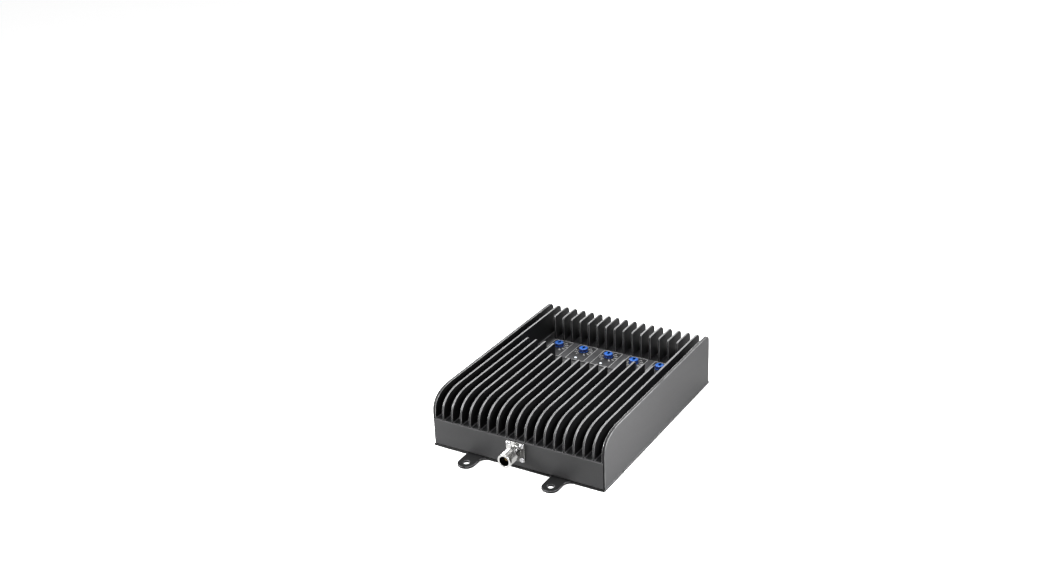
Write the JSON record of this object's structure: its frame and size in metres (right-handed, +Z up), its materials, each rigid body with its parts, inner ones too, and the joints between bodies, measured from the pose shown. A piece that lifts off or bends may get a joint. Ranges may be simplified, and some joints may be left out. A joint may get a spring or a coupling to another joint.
{
  "type": "cellular signal booster",
  "caption": "Finned metal radio amplifier box with rotary gain dials in a pocket among its fins, threaded coaxial sockets on its end panels and drilled mounting ears.",
  "frame": {"origin": "centre of the underside of the bottom plate", "axes": "+Z up, away from the surface the box is mounted on; +Y towards the rear panel, along the fins; +X to the right seen from the front"},
  "size_m": [0.212, 0.322, 0.064],
  "materials": {
    "black_anodised": "satin black anodised, brighter on the worn fin edges",
    "charcoal_powder_coat": "satin charcoal powder coat",
    "printed_overlay": "matt polycarbonate sheet with printed scales",
    "blue_plastic": "semi-gloss moulded blue",
    "black_plastic": "matt moulded black",
    "clear_plastic": "clear polished acrylic",
    "bright_steel": "bright zinc-plated steel",
    "black_steel": "black oxide steel",
    "tinned_steel": "tinned sheet steel",
    "nickel_plate": "bright nickel plate",
    "gold_plate": "gold plate",
    "white_ptfe": "white fluoropolymer",
    "circuit_laminate": "green solder mask on glass laminate",
    "grey_silicone": "soft grey gap filler",
    "silvered_ceramic": "silvered ceramic",
    "black_cable": "black cable jacket"
  },
  "bodies": {
    "case": {"attenuator_1": "black_plastic", "attenuator_2": "black_plastic", "attenuator_3": "black_plastic", "attenuator_4": "black_plastic", "attenuator_5": "black_plastic", "board_screw_1": "bright_steel", "board_screw_2": "bright_steel", "board_screw_3": "bright_steel", "board_screw_4": "bright_steel", "bottom_plate": "charcoal_powder_coat", "case_screw_1": "black_steel", "case_screw_2": "black_steel", "case_screw_3": "black_steel", "case_screw_4": "black_steel", "circuit_board": "circuit_laminate", "dial_overlay": "printed_overlay", "downlink_amplifier": "gold_plate", "downlink_filter": "silvered_ceramic", "downlink_shield": "tinned_steel", "downlink_thermal_pad": "grey_silicone", "finned_housing": "black_anodised", "front_panel": "charcoal_powder_coat", "front_pigtail": "black_cable", "front_socket_contact": "gold_plate", "front_socket_insulator": "white_ptfe", "front_socket_screw_1": "bright_steel", "front_socket_screw_2": "bright_steel", "front_socket_screw_3": "bright_steel", "front_socket_screw_4": "bright_steel", "front_socket_shell": "nickel_plate", "light_pipe_1": "clear_plastic", "light_pipe_2": "clear_plastic", "light_pipe_3": "clear_plastic", "light_pipe_4": "clear_plastic", "light_pipe_5": "clear_plastic", "power_socket": "black_plastic", "rear_panel": "charcoal_powder_coat", "rear_pigtail": "black_cable", "rear_socket_contact": "gold_plate", "rear_socket_insulator": "white_ptfe", "rear_socket_screw_1": "bright_steel", "rear_socket_screw_2": "bright_steel", "rear_socket_screw_3": "bright_steel", "rear_socket_screw_4": "bright_steel", "rear_socket_shell": "nickel_plate", "uplink_amplifier": "gold_plate", "uplink_filter": "silvered_ceramic", "uplink_shield": "tinned_steel", "uplink_thermal_pad": "grey_silicone"},
    "knob_1": {"gain_knob_1": "blue_plastic", "dial_shaft_1": "bright_steel"},
    "knob_2": {"gain_knob_2": "blue_plastic", "dial_shaft_2": "bright_steel"},
    "knob_3": {"gain_knob_3": "blue_plastic", "dial_shaft_3": "bright_steel"},
    "knob_4": {"gain_knob_4": "blue_plastic", "dial_shaft_4": "bright_steel"},
    "knob_5": {"gain_knob_5": "blue_plastic", "dial_shaft_5": "bright_steel"}
  },
  "joints": [
    {"name": "gain_dial_1", "type": "hinge", "parent": "case", "child": "knob_1", "pos_m": [-0.0666, 0.0805, 0.0348], "axis": [0, 0, 1], "range_deg": [-150, 150]},
    {"name": "gain_dial_2", "type": "hinge", "parent": "case", "child": "knob_2", "pos_m": [-0.0333, 0.0805, 0.0348], "axis": [0, 0, 1], "range_deg": [-150, 150]},
    {"name": "gain_dial_3", "type": "hinge", "parent": "case", "child": "knob_3", "pos_m": [0, 0.0805, 0.0348], "axis": [0, 0, 1], "range_deg": [-150, 150]},
    {"name": "gain_dial_4", "type": "hinge", "parent": "case", "child": "knob_4", "pos_m": [0.0333, 0.0805, 0.0348], "axis": [0, 0, 1], "range_deg": [-150, 150]},
    {"name": "gain_dial_5", "type": "hinge", "parent": "case", "child": "knob_5", "pos_m": [0.0666, 0.0805, 0.0348], "axis": [0, 0, 1], "range_deg": [-150, 150]}
  ]
}
